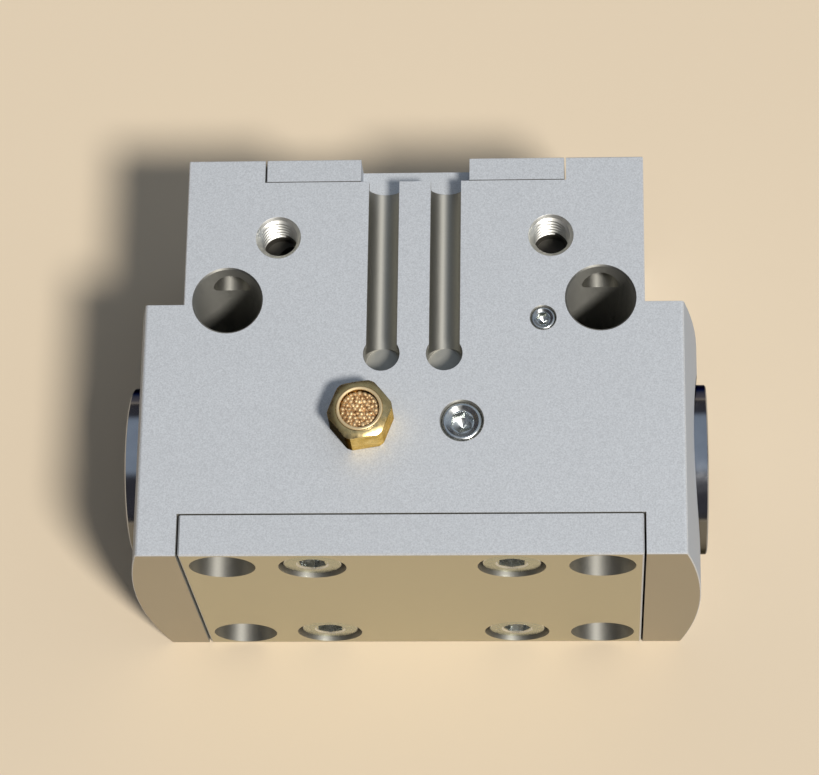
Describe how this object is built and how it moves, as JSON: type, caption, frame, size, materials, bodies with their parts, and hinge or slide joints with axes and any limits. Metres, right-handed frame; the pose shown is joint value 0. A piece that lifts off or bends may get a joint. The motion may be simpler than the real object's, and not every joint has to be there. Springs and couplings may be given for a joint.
{
  "type": "parallel gripper",
  "caption": "Pneumatic parallel gripper with round sealed jaws that slide out of both sides, driven by a wedge hook under a piston.",
  "frame": {"origin": "middle of the base mounting face, at mid-depth on the cylinder axis", "axes": "+X along the jaws' travel, the way the right jaw opens; +Y out of the base face, away from the working end; +Z out of the face with the air ports. The part lies on its back face."},
  "size_m": [0.0706, 0.0509, 0.0405],
  "materials": {
    "anodised_housing": "matt, fine-blasted and clear anodised",
    "anodised_cover": "matt, fine-blasted and clear anodised",
    "machined_aluminium": "turned",
    "polished_steel": "ground and polished, hardened",
    "hardened_steel": "milled, hardened",
    "zinc_plated_steel": "zinc plated",
    "bright_brass": "turned and milled, bright",
    "sintered_bronze": "porous, small fused balls",
    "black_rubber": "matt",
    "magnet_ferrite": "matt dark grey, plastic-bonded ferrite"
  },
  "bodies": {
    "housing": {"housing": "anodised_housing", "base_cover": "anodised_cover", "base_cover_screws": "zinc_plated_steel", "base_cover_seal": "black_rubber", "closing_plate": "anodised_cover", "closing_plate_screws": "zinc_plated_steel", "closing_plate_seal": "black_rubber", "rod_seal": "black_rubber", "rod_seal_retainer": "hardened_steel", "jaw_wiper_right": "black_rubber", "jaw_wiper_left": "black_rubber", "breather_filter_body": "bright_brass", "breather_filter_element": "sintered_bronze", "chamber_plug": "zinc_plated_steel", "passage_set_screw": "zinc_plated_steel"},
    "right_jaw": {"jaw_right": "polished_steel"},
    "left_jaw": {"jaw_left": "polished_steel"},
    "drive": {"piston": "machined_aluminium", "piston_seal": "black_rubber", "piston_magnet": "magnet_ferrite", "wedge_hook": "hardened_steel", "wedge_screw": "zinc_plated_steel"}
  },
  "joints": [
    {"name": "right_jaw_slide", "type": "slide", "parent": "housing", "child": "right_jaw", "axis": [1, 0, 0], "range_m": [0, 0.006]},
    {"name": "left_jaw_slide", "type": "slide", "parent": "housing", "child": "left_jaw", "axis": [-1, 0, 0], "range_m": [0, 0.006]},
    {"name": "piston_slide", "type": "slide", "parent": "housing", "child": "drive", "axis": [0, -1, 0], "range_m": [0, 0.008]}
  ],
  "couplings": [
    {"joint": "left_jaw_slide", "follows": "right_jaw_slide", "ratio": 1},
    {"joint": "piston_slide", "follows": "right_jaw_slide", "ratio": 1.3333}
  ]
}
